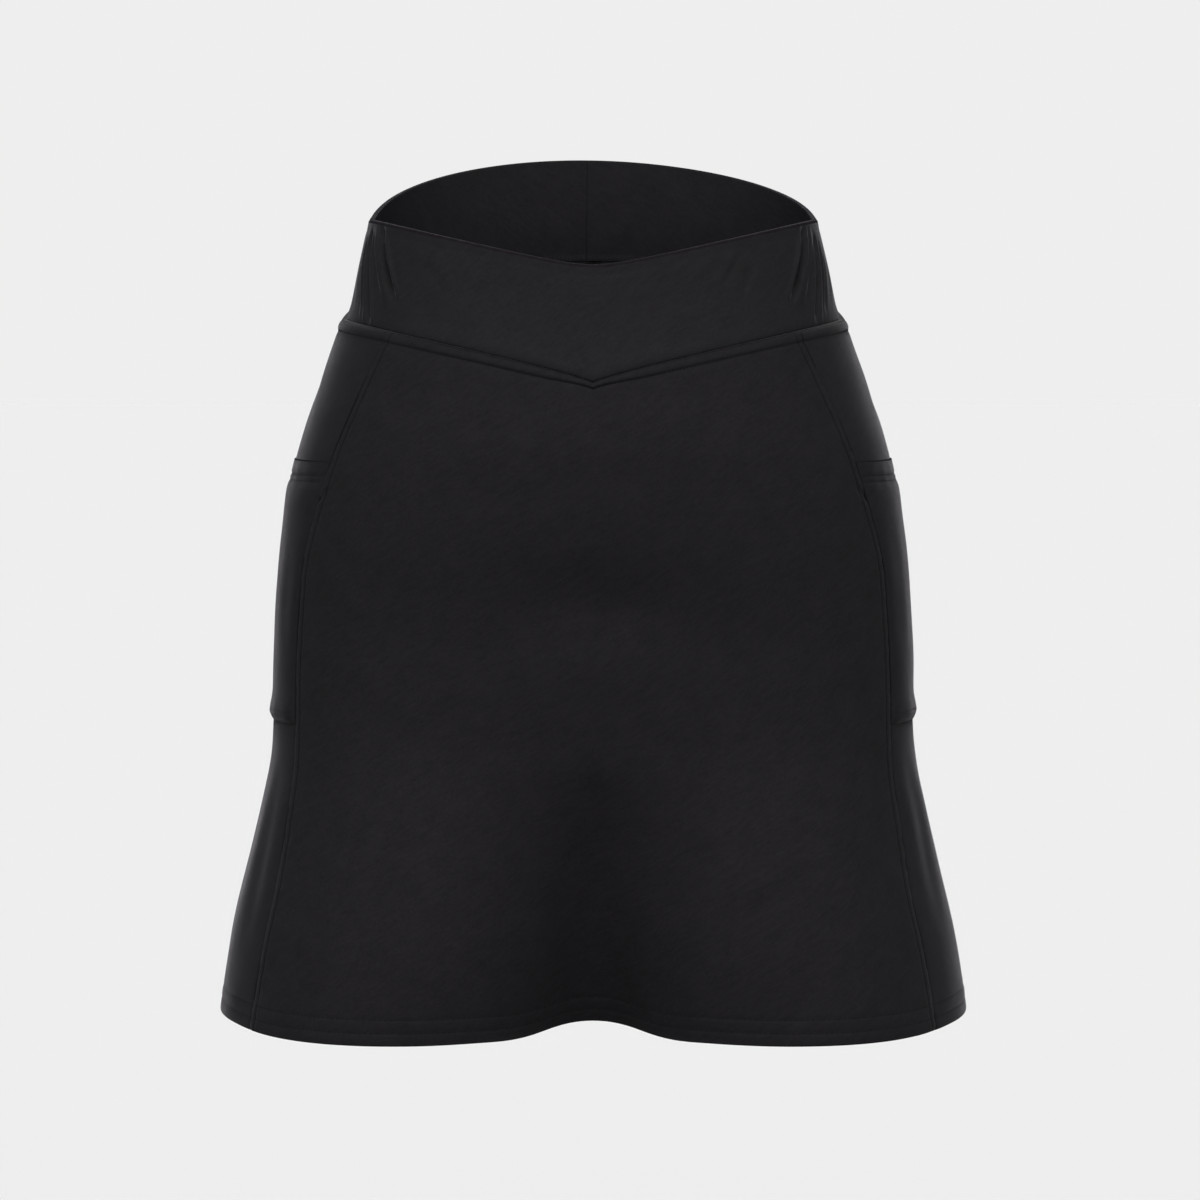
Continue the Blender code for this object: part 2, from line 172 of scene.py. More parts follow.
RIDGE = (                       # below the waist seam, how far out, how thick
    (0.0, -0.8, 4.2), (0.7, 0.0, 4.3), (1.7, 0.4, 4.3), (2.9, 0.55, 4.4), (4.1, 0.4, 4.1),
    (4.9, 0.0, 3.4), (5.5, -0.4, 2.4), (6.3, -0.3, 1.7), (8.5, 0.0, SKIRT_THICK),
    (11.0, 0.0, SKIRT_THICK),
)


def along(table, column, place):
    """One column of a table at any places: a smooth curve through its rows, level wherever the
    column turns or stays the same."""
    rows = np.array(sorted(table))
    places, values = rows[:, 0], rows[:, column]
    last = len(rows) - 1
    low, high = np.r_[0, 0:last], np.r_[1:last + 1, last]
    slopes = (values[high] - values[low]) / (places[high] - places[low])
    turns = (values - values[low]) * (values[high] - values) <= 0.0
    turns[[0, -1]] = False
    slopes[turns] = 0.0
    place = np.clip(place, places[0], places[-1])
    k = np.clip(np.searchsorted(places, place, side="right") - 1, 0, last - 1)
    step = places[k + 1] - places[k]
    s = (place - places[k]) / step
    return ((2 * s ** 3 - 3 * s ** 2 + 1) * values[k] + (s ** 3 - 2 * s ** 2 + s) * step * slopes[k]
            + (3 * s ** 2 - 2 * s ** 3) * values[k + 1] + (s ** 3 - s ** 2) * step * slopes[k + 1])


def bell(distance, spread):
    return np.exp(-(distance / spread) ** 2)


def short_of(place, distance, blur):
    """1 where the distance is less than the place and 0 past it, with a soft step between."""
    return 1.0 / (1.0 + np.exp((distance - place) / blur))


def from_front(angle):
    """Degrees from the centre front, 0 to 180, the same on both sides."""
    return np.abs((angle + 180.0) % 360.0 - 180.0)


def ring(angle, height):
    """The line of the skirt's outer face, with its hanging folds: two deep valleys at the centre
    front and back, and a lobe on each side of them."""
    sine, cosine = np.sin(np.radians(angle)), np.cos(np.radians(angle))
    square = along(RINGS, SQUARE, height)
    swell = (np.abs(sine) ** square + np.abs(cosine) ** square) ** (-1.0 / square)
    depth = np.where(cosine > 0.0, along(RINGS, FRONT, height), along(RINGS, BACK, height))
    valley, lobe = along(RINGS, VALLEY, height), along(RINGS, LOBE, height)
    front, back = from_front(angle), 180.0 - from_front(angle)
    fold = lobe * bell(front - LOBE_ANGLE, LOBE_SPREAD) - valley * bell(front, VALLEY_SPREAD)
    fold += BACK_LOBE_SHARE * lobe * bell(back - LOBE_ANGLE, LOBE_SPREAD)
    fold -= BACK_VALLEY_SHARE * valley * bell(back, VALLEY_SPREAD)
    x = (along(RINGS, HALF_WIDTH, height) * swell + fold) * sine
    y = -(depth * swell + fold) * cosine
    return np.stack([x, y, height + np.zeros_like(x)], axis=-1)


def per_degree(angle, height):
    """Millimetres of cloth in one degree."""
    return np.linalg.norm(ring(angle + 0.5, height) - ring(angle - 0.5, height), axis=-1)


def outward(angle, height):
    way = ring(angle + 0.5, height) - ring(angle - 0.5, height)
    out_way = np.stack([way[..., 1], -way[..., 0], np.zeros_like(way[..., 0])], axis=-1)
    return out_way / np.linalg.norm(out_way, axis=-1, keepdims=True)


def lifted(angle, height, lift):
    """Points on the line of the skirt, moved level out of it, or in where lift is negative."""
    return ring(angle, height) + outward(angle, height) * np.asarray(lift)[..., None]


def waist_seam(angle):
    sine, cosine = np.abs(np.sin(np.radians(angle))), np.cos(np.radians(angle))
    drop = SEAM_FRONT_DROP * (1.0 - sine ** SEAM_FRONT_SHARPNESS)
    return SEAM_SIDE + np.where(cosine < 0.0, -SEAM_BACK_RISE * cosine, -drop)


def hem_edge(angle):
    away = from_front(angle)
    return HEM_SIDE + sum(rise * bell(away - place, spread) for place, rise, spread in HEM_WAVES)


def ridge_width(angle):
    """The ridge narrows where its two halves meet in the V."""
    return 1.0 - 0.36 * bell(from_front(angle), 7.5)


RIDGE_ROWS_END = 11.0           # the rows below the waist seam and above the hem reach this far
HEM_ROWS_START = 17.3
SKIRT_ROWS = [("below", x) for x in (0.0, 0.45, 0.9, 1.4, 1.9, 2.4, 2.9, 3.4, 3.9, 4.4, 4.8, 5.2, 5.6,
                                     6.1, 6.8, 7.7, 8.8, RIDGE_ROWS_END)]
SKIRT_ROWS += [("upper", k / 16.0) for k in range(1, 16)]
SKIRT_ROWS += [("pocket", k / 64.0) for k in range(65)]
SKIRT_ROWS += [("lower", k / 46.0) for k in range(1, 46)]
SKIRT_ROWS += [("above", x) for x in (HEM_ROWS_START, 15.6, 14.6, 13.8, 13.0, 12.0, 10.6, 9.2, 7.7,
                                      6.8, 5.9, 4.9, 3.9, 2.9, 1.9, 0.9, 0.0)]


def skirt_height(angle, row):
    """A row of the panels: millimetres under the waist seam, millimetres above the hem, or a share
    of one of the three stretches that the pocket's edges part."""
    kind, amount = row
    top, hem = waist_seam(angle) + SEAM_OVERLAP, hem_edge(angle)
    if kind == "below":
        return top - amount * ridge_width(angle)
    if kind == "above":
        return hem + amount
    start, end = {"upper": (top - RIDGE_ROWS_END * ridge_width(angle), POCKET_TOP),
                  "pocket": (POCKET_TOP, POCKET_BOTTOM),
                  "lower": (POCKET_BOTTOM, hem + HEM_ROWS_START)}[kind]
    return start + (end - start) * amount + np.zeros_like(angle)


def princess(height):
    return along(PRINCESS_SEAM, 1, height)


def back_princess(height):
    return 180.0 - princess(height) - BACK_PRINCESS_SHIFT


PANEL_SEAMS = {                 # the first and the last seam of each panel, going round to the left
    "front": (lambda height: -princess(height), princess),
    "left": (princess, back_princess),
    "back": (back_princess, lambda height: 360.0 - back_princess(height)),
    "right": (lambda height: -back_princess(height), lambda height: -princess(height)),
}


def crossing(seam, row):
    """Where a seam, an angle at each height, crosses a row."""
    angle = np.array([90.0 * np.sign(seam(-200.0))])
    for _ in range(14):
        angle = np.atleast_1d(seam(skirt_height(angle, row)))
    return angle


TOPSTITCH = 4.6                 # from a princess seam to the row of stitches beside it
SEAM_STEPS = np.array([0.0, 0.35, 0.75, 1.2, 1.8, 2.6, 3.4, 4.0, 4.6, 5.1, 5.7, 6.5, 7.8])
SEAM_SHADE = (0, 1)             # steps beside a seam that take its painted shade
TOPSTITCH_SHADE = (0, 1, 7, 8)
TOPSTITCHED = ("front", "back")  # panels with a row of stitches beside their seams


def row_angles(first, last, height_at, even):
    """Angles of a row's points: close together beside its two seams, and even between them."""
    near_first = SEAM_STEPS - SEAM_OVERLAP
    start = first + near_first / per_degree(first, height_at(first))
    end = last - near_first[::-1] / per_degree(last, height_at(last))
    middle = np.linspace(start[-1], end[0], even + 1)[1:-1]
    return np.concatenate([start, middle, end])


def panel_places(panel, even, rows=SKIRT_ROWS):
    first_seam, last_seam = PANEL_SEAMS[panel]
    angles, heights = [], []
    for row in rows:
        across = row_angles(crossing(first_seam, row), crossing(last_seam, row),
                            lambda angle: skirt_height(angle, row), even)
        angles.append(across)
        heights.append(skirt_height(across, row))
    return np.array(angles), np.array(heights)


def uneven(points, size, shift):
    """A slow random wave over the cloth, from -1 to 1, with swells of about this size."""
    flat = points.reshape(-1, 3) / size
    waves = [noise.noise(Vector((x + shift, y, z))) for x, y, z in flat]
    return np.array(waves).reshape(points.shape[:-1])


def creased(points, table, lift=0.0):
    """How far creases move each point. A crease is a soft trough with low shoulders along a bent
    line on the cloth, fading at its ends; a negative depth makes it a ridge."""
    moved = np.zeros(points.shape[:-1])
    for line, width, depth in table:
        first, middle, last = np.array(line, float)
        t = np.linspace(0.0, 1.0, 9)[:, None]
        bends = (1 - t) ** 2 * first + 2 * t * (1 - t) * middle + t ** 2 * last
        corners = lifted(bends[:, 0], bends[:, 1], lift)
        nearest, share = np.full(moved.shape, 1e9), np.zeros(moved.shape)
        for k in range(len(corners) - 1):
            start, way = corners[k], corners[k + 1] - corners[k]
            t = np.clip((points - start) @ way / (way @ way), 0.0, 1.0)
            away = np.linalg.norm(points - start - t[..., None] * way, axis=-1)
            closer = away < nearest
            nearest[closer] = away[closer]
            share[closer] = ((k + t) / (len(corners) - 1))[closer]
        fade = np.clip(4.0 * share * (1.0 - share), 0.0, 1.0) ** 1.2
        moved -= depth * fade * (bell(nearest, width) - 0.35 * bell(nearest - 1.9 * width, 0.8 * width))
    return moved


# the finish of what lies in a seam is a copy of the jersey painted darker, as the seam's shade
OUTSIDE, INSIDE, PAINTED_SEAM_SHADE, FOLDED = 0, 1, 2, 3


def corners_of(mesh):
    corners = np.zeros(len(mesh.loops), int)
    mesh.loops.foreach_get("vertex_index", corners)
    return corners


def cloth_shell(name, outer, inner, rounding, ends=(PAINTED_SEAM_SHADE, OUTSIDE), shaded=SEAM_SHADE):
    """A plane's grid, given its thickness and shaped into the two faces of a piece of cloth. Rows
    run down and columns with the angle. Rounding is for the top and the bottom edge, ends gives
    the finish of the first and the last row, and shaded lists the steps beside a seam that take
    the painted seam shade."""
    rows, columns = outer.shape[:2]
    bpy.ops.object.select_all(action="DESELECT")
    bpy.ops.mesh.primitive_grid_add(x_subdivisions=columns - 1, y_subdivisions=rows - 1, size=1.0)
    piece = bpy.context.object
    piece.name = piece.data.name = name
    mesh = piece.data
    spots = np.array([v.co for v in mesh.vertices])
    column = np.rint((spots[:, 0] + 0.5) * (columns - 1)).astype(int)
    row = np.rint((0.5 - spots[:, 1]) * (rows - 1)).astype(int)
    # the cloth's own lengths across and down, in metres, for the knit to follow
    across = np.linalg.norm(np.diff(outer, axis=1), axis=-1)
    down = np.linalg.norm(np.diff(outer, axis=0), axis=-1)
    middle = columns // 2
    run = np.concatenate([np.zeros((rows, 1)), np.cumsum(across, axis=1)], axis=1)
    run -= run[:, middle:middle + 1]
    drop = np.concatenate([np.zeros((1, columns)), np.cumsum(down, axis=0)], axis=0) - outer[:1, :, 2]
    lengths = np.stack([run, -drop], axis=-1)[row, column] * MM
    mesh.uv_layers[0].data.foreach_set("uv", lengths[corners_of(mesh)].ravel())
    count = len(mesh.vertices)
    mesh.vertices.foreach_set("co", (outer[row, column] * MM).ravel())
    wall = piece.modifiers.new("wall", "SOLIDIFY")
    wall.thickness, wall.offset = 1.0 * MM, -1.0
    bpy.ops.object.modifier_apply(modifier="wall")
    places = np.concatenate([outer[row, column], inner[row, column]]) * MM
    mesh.vertices.foreach_set("co", places.ravel())
    # the outer face keeps its nap and the inner face has none; the rims between them, and what lies in a
    # seam, take a copy with less nap whose colour is painted darker as a seam's shade
    corners = corners_of(mesh)
    quads = corners.reshape(-1, 4)
    outer_face, inner_face = (quads < count).all(axis=1), (quads >= count).all(axis=1)
    finish = np.where(outer_face, OUTSIDE, np.where(inner_face, INSIDE, PAINTED_SEAM_SHADE))
    quad_columns, quad_rows = column[quads % count], row[quads % count]
    # where ends gives the painted seam shade to a first or last row, it paints a shadow line along that
    # edge
    finish[~inner_face & (quad_rows.max(axis=1) <= 1)] = ends[0]
    finish[outer_face & (quad_rows.min(axis=1) == rows - 2)] = ends[1]
    step = np.minimum(quad_columns.min(axis=1), columns - 1 - quad_columns.max(axis=1))
    finish[outer_face & np.isin(step, shaded)] = PAINTED_SEAM_SHADE
    # the inner face's first step beside a seam is painted darker too, as painted shade along the seam
    # line
    finish[inner_face & (step == 0)] = PAINTED_SEAM_SHADE
    mesh.polygons.foreach_set("material_index", finish)
    # folded and cut edges are rounded, each by its own amount
    edge_ends = np.zeros(len(mesh.edges) * 2, int)
    mesh.edges.foreach_get("vertices", edge_ends)
    start, end = edge_ends.reshape(-1, 2).T
    start_row, end_row = row[start % count], row[end % count]
    along_row = ((start < count) == (end < count)) & (start_row == end_row)
    weights = np.zeros(len(mesh.edges))
    weights[along_row & (start_row == 0)] = rounding[0]
    weights[along_row & (start_row == rows - 1)] = rounding[1]
    mesh.attributes.new("bevel_weight_edge", "FLOAT", "EDGE").data.foreach_set("value", weights)
    edge = piece.modifiers.new("edge", "BEVEL")
    edge.limit_method, edge.width, edge.segments = "WEIGHT", 1.0 * MM, 3
    bpy.ops.object.modifier_apply(modifier="edge")
    bpy.ops.object.shade_smooth()
    return piece


BELLY_DIP = 3.6                 # a shallow dip under the belly
BELLY_DIP_HEIGHT = -174.0
DRAWN_IN = 5.0                  # how far the coverstitches draw the hem in
DRAWN_IN_FROM = -346.0


def skirt_lift(panel, angle, height, creases, shift):
    """How far a skirt panel's outer and inner faces stand out from its line."""
    smooth = ring(angle, height)
    below = (waist_seam(angle) + SEAM_OVERLAP - height) / ridge_width(angle)
    above = height - hem_edge(angle)
    form = creased(smooth, creases) + 0.45 * uneven(smooth, 48.0, shift)
    form += 0.15 * uneven(smooth, 17.0, shift + 5.0)
    form *= np.clip(below / 14.0, 0.0, 1.0)
    front_or_back = np.cos(np.radians(angle)) ** 2
    towards_hem = np.clip((DRAWN_IN_FROM - height) / 56.0, 0.0, 1.0)
    form -= DRAWN_IN * towards_hem ** 1.6 * (0.25 + 0.75 * front_or_back)
    sideways = np.where(from_front(angle) < 90.0, smooth[..., 0], 999.0)
    form -= BELLY_DIP * bell(sideways, 44.0) * bell(height - BELLY_DIP_HEIGHT, 22.0)
    thick = along(RIDGE, 2, below)
    folded = short_of(HEM_FOLD + 0.6, above, 0.5)
    thick = thick + (HEM_THICK - SKIRT_THICK) * folded
    rise = along(RIDGE, 1, below)
    for seam in PANEL_SEAMS[panel]:
        away = np.abs(angle - seam(height)) * per_degree(angle, height)
        rise = rise - 0.34 * np.exp(-away / 0.9) * np.clip(below / 6.0, 0.25, 1.0)
        if panel in TOPSTITCHED:
            rise -= 0.15 * bell(away - TOPSTITCH, 0.7)
            wave = np.sin(2.0 * np.pi * height / 11.5 + 4.0 * uneven(smooth, 60.0, shift + 9.0))
            rise += 0.14 * wave * bell(away - 4.5, 4.0)
    rows_of_stitch = bell(above - HEM_FOLD, 0.8) + bell(above - HEM_FOLD + HEM_GAUGE, 0.8)
    around = angle * per_degree(angle, height)
    wave = np.sin(2.0 * np.pi * around / 8.5 + 6.0 * uneven(smooth, 45.0, shift + 3.0))
    wave *= 0.6 + 0.8 * uneven(smooth, 25.0, shift + 7.0)
    rise += 0.12 * folded - 0.32 * rows_of_stitch + 0.26 * wave * bell(above - 10.5, 5.5)
    return form + rise, form + along(RIDGE, 1, below) - thick


def skirt_panel(name, panel, even, creases, shift):
    angle, height = panel_places(panel, even)
    outer, inner = (lifted(angle, height, lift)
                    for lift in skirt_lift(panel, angle, height, creases, shift))
    return cloth_shell(name, outer, inner, (0.3, 0.9),
                       shaded=TOPSTITCH_SHADE if panel in TOPSTITCHED else SEAM_SHADE)


def knit_group():
    """The jersey's face: rows of tiny V-shaped loops, a faint slanting fleck in the colour, and
    loose fibre ends. The loops' relief is also painted into the colour as painted shade, lighter
    on their crests and darker between them. It follows the cloth's own lengths."""
    group = bpy.data.node_groups.new("jersey", "ShaderNodeTree")
    face = group.interface
    for label, start in (("Loops Per Metre", 1300.0), ("Fleck", 1.0)):
        face.new_socket(label, in_out="INPUT", socket_type="NodeSocketFloat").default_value = start
    for label in ("Tone And Loop Shade", "Height"):
        face.new_socket(label, in_out="OUTPUT", socket_type="NodeSocketFloat")
    add, link = group.nodes.new, group.links.new
    given, result = add("NodeGroupInput"), add("NodeGroupOutput")
    lengths = add("ShaderNodeUVMap")

    def calc(kind, *values):
        node = add("ShaderNodeMath")
        node.operation = kind
        for socket, value in zip(node.inputs, values):
            if isinstance(value, bpy.types.NodeSocket):
                link(value, socket)
            else:
                socket.default_value = value
        return node.outputs[0]

    parts = add("ShaderNodeSeparateXYZ")
    link(lengths.outputs["UV"], parts.inputs[0])
    wale = calc("MULTIPLY", parts.outputs["X"], given.outputs["Loops Per Metre"])
    course = calc("MULTIPLY", parts.outputs["Y"], calc("MULTIPLY", given.outputs["Loops Per Metre"], 1.3))
    across = calc("PINGPONG", wale, 0.5)                       # 0 to a half and back
    slant = calc("ADD", course, calc("MULTIPLY", across, 1.6))
    yarn = calc("SINE", calc("MULTIPLY", slant, 2.0 * math.pi))
    leg = calc("SINE", calc("MULTIPLY", across, 2.0 * math.pi))
    loops = calc("MULTIPLY", calc("MULTIPLY_ADD", yarn, 0.35, 0.65), leg)

    def grain(turn, scale, detail, size=1.0):
        turned, place = add("ShaderNodeMapping"), add("ShaderNodeMapping")
        turned.inputs["Rotation"].default_value = (0.0, 0.0, turn)
        place.inputs["Scale"].default_value = scale
        link(lengths.outputs["UV"], turned.inputs["Vector"])
        link(turned.outputs["Vector"], place.inputs["Vector"])
        noisy = add("ShaderNodeTexNoise")
        noisy.inputs["Scale"].default_value = size
        noisy.inputs["Detail"].default_value = detail
        noisy.inputs["Roughness"].default_value = 0.6
        link(place.outputs["Vector"], noisy.inputs["Vector"])
        return noisy.outputs["Fac"]

    def swing(noisy, amount):
        return calc("MULTIPLY", calc("SUBTRACT", noisy, 0.5), amount)

    fleck = grain(math.radians(-32.0), (95.0, 350.0, 1.0), 3.0)
    short = grain(math.radians(-36.0), (380.0, 850.0, 1.0), 2.0)
    fibre = grain(0.0, (2100.0, 2100.0, 1.0), 1.0)
    cloudy = grain(0.3, (60.0, 60.0, 1.0), 3.0)
    tone_and_loop_shade = calc("ADD", calc("ADD", swing(fleck, 0.62), swing(short, 0.7)), swing(cloudy, 0.46))
    tone_and_loop_shade = calc("ADD", calc("MULTIPLY", tone_and_loop_shade, given.outputs["Fleck"]), swing(fibre, 0.5))
    # painted shade of the loops: the colour is lighter on their crests and darker between them
    tone_and_loop_shade = calc("ADD", calc("MULTIPLY_ADD", loops, 0.10, 0.45), tone_and_loop_shade)
    link(calc("MAXIMUM", calc("MINIMUM", tone_and_loop_shade, 1.0), 0.0), result.inputs["Tone And Loop Shade"])
    raised = calc("ADD", calc("MULTIPLY", loops, 0.7), calc("MULTIPLY", fibre, 0.5))
    link(calc("ADD", raised, calc("MULTIPLY", short, 0.25)), result.inputs["Height"])
    return group


JERSEY = knit_group()


def two_tone(nodes, links, dark, light, share):
    """Gives the shader a colour between two, by a share that another node works out."""
    colour = nodes.new("ShaderNodeMix")
    colour.data_type = "RGBA"
    colour.inputs["A"].default_value = (*dark, 1.0)
    colour.inputs["B"].default_value = (*light, 1.0)
    links.new(share, colour.inputs["Factor"])
    links.new(colour.outputs["Result"], nodes["Principled BSDF"].inputs["Base Color"])


def jersey(name, dark, light, roughness, sheen, gloss, loops, fleck):
    """Black jersey between two colours."""
    material = bpy.data.materials.new(name)
    material.use_nodes = True
    nodes, links = material.node_tree.nodes, material.node_tree.links
    shader = nodes["Principled BSDF"]
    face = nodes.new("ShaderNodeGroup")
    face.node_tree = JERSEY
    face.inputs["Loops Per Metre"].default_value = loops
    face.inputs["Fleck"].default_value = fleck
    two_tone(nodes, links, dark, light, face.outputs["Tone And Loop Shade"])
    wear = nodes.new("ShaderNodeMapRange")
    wear.inputs["To Min"].default_value = roughness + 0.06
    wear.inputs["To Max"].default_value = roughness - 0.06
    links.new(face.outputs["Tone And Loop Shade"], wear.inputs["Value"])
    links.new(wear.outputs["Result"], shader.inputs["Roughness"])
    bump = nodes.new("ShaderNodeBump")
    bump.inputs["Strength"].default_value = 0.35
    bump.inputs["Distance"].default_value = 0.00016
    links.new(face.outputs["Height"], bump.inputs["Height"])
    links.new(bump.outputs["Normal"], shader.inputs["Normal"])
    shader.inputs["Specular IOR Level"].default_value = gloss
    shader.inputs["Sheen Weight"].default_value = sheen
    shader.inputs["Sheen Roughness"].default_value = 0.235
    shader.inputs["Sheen Tint"].default_value = (0.96, 0.93, 1.0, 1.0)
    return material


def four_finishes(name, dark, light, roughness, sheen, loops, fleck):
    """The jersey of one piece: its outside with the nap; its plain inside, a little lighter and
    without nap; a copy with less nap and gloss whose colour is painted darker as the shade in a
    seam; and one along a folded edge, with no sheen or gloss and its colour painted lighter."""
    made = []
    for place, share, nap, gloss in (
            ("", 1.0, sheen, 0.22), ("_inside", 1.25, 0.0, 0.22),
            # the folded finish has no sheen and almost no gloss, and its colour is painted lighter in
            # place of the light they would reflect
            ("_painted_seam_shade", 0.85, 0.25 * sheen, 0.14), ("_folded", 1.65, 0.0, 0.02)):
        shades = [[share * part for part in colour] for colour in (dark, light)]
        made.append(jersey(name + place, *shades, roughness, nap, gloss, loops, fleck))
    return made


SKIRT_JERSEY = four_finishes("skirt_jersey", (0.0051, 0.0043, 0.0054), (0.0170, 0.0145, 0.0177),
                              0.74, 0.44, 1300.0, 1.0)


def finish_cloth(piece, node, finishes):
    """Gives a piece of cloth its finishes, hangs it on the root and hides the part it stands for."""
    for material in finishes:
        piece.data.materials.append(material)
    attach(piece, "root")
    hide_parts(node)


FRONT_CREASES = (
    # corners (angle, height), half width, depth
    (((-61, -125), (-57, -121), (-52.5, -116)), 1.7, 0.9),
    (((60.5, -126), (57.5, -121), (54, -113)), 1.7, 0.9),
    (((0, -262), (0, -400), (0, -540)), 42.0, 8.0),
    (((0.6, -254), (0, -330), (-0.6, -430)), 14.0, 2.4),
    (((44, -262), (47, -310), (48.5, -378)), 8.0, 0.5),
    (((-45, -270), (-48, -320), (-49, -384)), 9.0, 0.55),
    (((36, -300), (26, -318), (20, -330)), 6.0, -0.45),
    (((-38, -292), (-30, -315), (-21, -338)), 7.0, -0.4),
    (((30, -332), (36, -345), (44, -352)), 4.5, 0.35),
)
panels = {"front": skirt_panel("front_panel", "front", 180, FRONT_CREASES, 0.0)}
finish_cloth(panels["front"], "skirt_front", SKIRT_JERSEY)

# ---- Back panel ------------------------------------------
# The same jersey. It is about as wide as the front, hangs from the higher back of the waistband,
# and falls in shallower folds.
BACK_CREASES = (
    (((168, -70), (160, -96), (147, -116)), 6.0, 1.1),
    (((193, -66), (201, -93), (212, -120)), 6.5, 1.2),
    (((180, -140), (181, -190), (179, -236)), 13.0, 2.2),
    (((166, -226), (171, -290), (173, -376)), 8.0, 1.6),
    (((195, -240), (190, -300), (188, -368)), 9.0, 1.4),
    (((137, -246), (132, -310), (131, -386)), 8.0, 1.3),
    (((221, -258), (228, -316), (230, -388)), 9.0, 1.3),
    (((148, -230), (158, -252), (170, -264)), 5.5, 1.0),
    (((213, -234), (203, -256), (191, -267)), 6.0, 0.9),
)
panels["back"] = skirt_panel("back_panel", "back", 86, BACK_CREASES, 31.0)
finish_cloth(panels["back"], "skirt_back", SKIRT_JERSEY)

# ---- Side panels -----------------------------------------
# A narrow panel of the same jersey over each hip, seamed to the front and the back, with the
# pocket lying on it. It carries the corded ridge on round the hip.
SIDE_CREASES = {
    "left": ((((96, -48), (88, -70), (78, -92)), 5.0, 0.5),
             (((84, -262), (86, -320), (84, -384)), 9.0, 0.9),
             (((103, -280), (106, -330), (108, -388)), 8.0, 0.7),
             (((70, -256), (69, -300), (66, -356)), 6.0, 0.6)),
    "right": ((((-92, -44), (-84, -66), (-76, -88)), 5.5, 0.45),
              (((-80, -268), (-83, -322), (-80, -386)), 8.5, 0.8),
              (((-101, -272), (-104, -326), (-107, -386)), 9.0, 0.8),
              (((-68, -264), (-66, -310), (-64, -370)), 6.0, 0.55)),
}
SIDE_SHIFTS = {"left": 57.0, "right": 83.0}
for side, shift in SIDE_SHIFTS.items():
    panels[side] = skirt_panel("side_panel_" + side, side, 36, SIDE_CREASES[side], shift)
    finish_cloth(panels[side], "skirt_side_" + side, SKIRT_JERSEY)

# ---- Pockets ---------------------------------------------
# A flat patch of jersey on each side panel, caught in both princess seams. Its mouth is turned
# down and sewn with two rows, and its folded bottom edge is sewn to the panel.
POCKET_LIFT = 0.85
MOUTH_STITCHES = (8.0, 11.2)    # the two rows, below the mouth
BOTTOM_STITCHES = 6.0           # the row above the bottom edge
POCKET_DROPS = [                # rows of the pocket, below its mouth
    0.0, 0.8, 1.8, 3.2, 5.0, 6.6, 7.4, 8.0, 8.6, 9.6, 10.6, 11.2, 11.8, 12.5, 13.6, 15.0, 17.0]
POCKET_DROPS += [17.0 + 105.0 * k / 36.0 for k in range(1, 37)]
POCKET_DROPS += [125.0, 128.0, 130.5, 132.5, 134.0, 134.9, 135.7, 136.5, 137.4, 138.4, 139.4, 140.5]
POCKET_ROWS = [("pocket", drop / (POCKET_TOP - POCKET_BOTTOM)) for drop in POCKET_DROPS]
POCKET_CREASES = {
    "left": ((((86, -122), (92, -150), (90, -182)), 8.0, 0.5),
             (((66, -130), (70, -160), (68, -205)), 5.0, 0.35),
             (((104, -196), (97, -214), (92, -236)), 6.0, 0.4)),
    "right": ((((-92, -118), (-86, -142), (-89, -176)), 7.0, 0.45),
              (((-67, -138), (-70, -172), (-67, -214)), 5.0, 0.4),
              (((-106, -186), (-100, -210), (-94, -232)), 6.5, 0.4)),
}
pockets = {}
for side, shift in (("left", 111.0), ("right", 137.0)):
    angle, height = panel_places(side, 36, POCKET_ROWS)
    smooth = ring(angle, height)
    under_mouth, over_bottom = POCKET_TOP - height, height - POCKET_BOTTOM
    under = skirt_lift(side, angle, height, SIDE_CREASES[side], SIDE_SHIFTS[side])[0]
    lift = POCKET_LIFT + 0.15 * uneven(smooth, 34.0, shift) + 0.6 * creased(
        smooth, POCKET_CREASES[side])
    for stitches, depth in zip(MOUTH_STITCHES, (0.6, 0.4)):
        lift -= depth * bell(under_mouth - stitches, 0.7)
    lift += 0.8 * bell(under_mouth - 16.0, np.where(under_mouth < 16.0, 3.4, 12.0))
    # the gathered fold at its bottom stands out a little and closes under itself
    lift += 1.5 * bell(over_bottom - 4.5, np.where(over_bottom < 4.5, 3.2, 6.5))
    lift -= 0.4 * np.exp(-over_bottom / 1.2) + 0.2 * bell(over_bottom - BOTTOM_STITCHES, 0.8)
    turned = np.minimum(*(np.abs(angle - seam(height)) for seam in PANEL_SEAMS[side]))
    away = turned * per_degree(angle, height)
    wave = np.sin(2.0 * np.pi * angle * per_degree(angle, height) / 9.5
                  + 4.0 * uneven(smooth, 60.0, shift + 3.0))
    lift += 0.12 * wave * (bell(under_mouth - 9.0, 7.0) + bell(over_bottom - 4.0, 6.0))
    lift = 0.1 + (np.maximum(lift, 0.3) - 0.1) * (1.0 - np.exp(-(away + SEAM_OVERLAP) / 3.6))
    outer = lifted(angle, height, under + lift)
    inner = lifted(angle, height, under + np.minimum(lift - 0.5, -0.25))
    pockets[side] = cloth_shell("pocket_patch_" + side, outer, inner, (0.45, 0.45), (FOLDED, OUTSIDE))
    finish_cloth(pockets[side], "pocket_" + side, SKIRT_JERSEY)

# ---- Waistband -------------------------------------------
# A wide band of doubled, slightly smoother jersey, cut with a V at the front and higher at the
# back. It is made of a front and two back pieces, folded over at the top edge, and pulls into a
# few sharp folds beside the hips.
BAND_INSET = 3.4
BAND_THICK = 2.8
BACK_SEAM_ANGLE = 181.8
TOP_SIDE = 26.0                 # the top edge at the sides, its dip in front and its rise behind
TOP_FRONT_DROP = 26.0
TOP_FRONT_SOFTNESS = 0.12
TOP_BACK_RISE = 36.5
TOP_BACK_LEAN = 0.06            # the back edge stands a little higher on the wearer's right


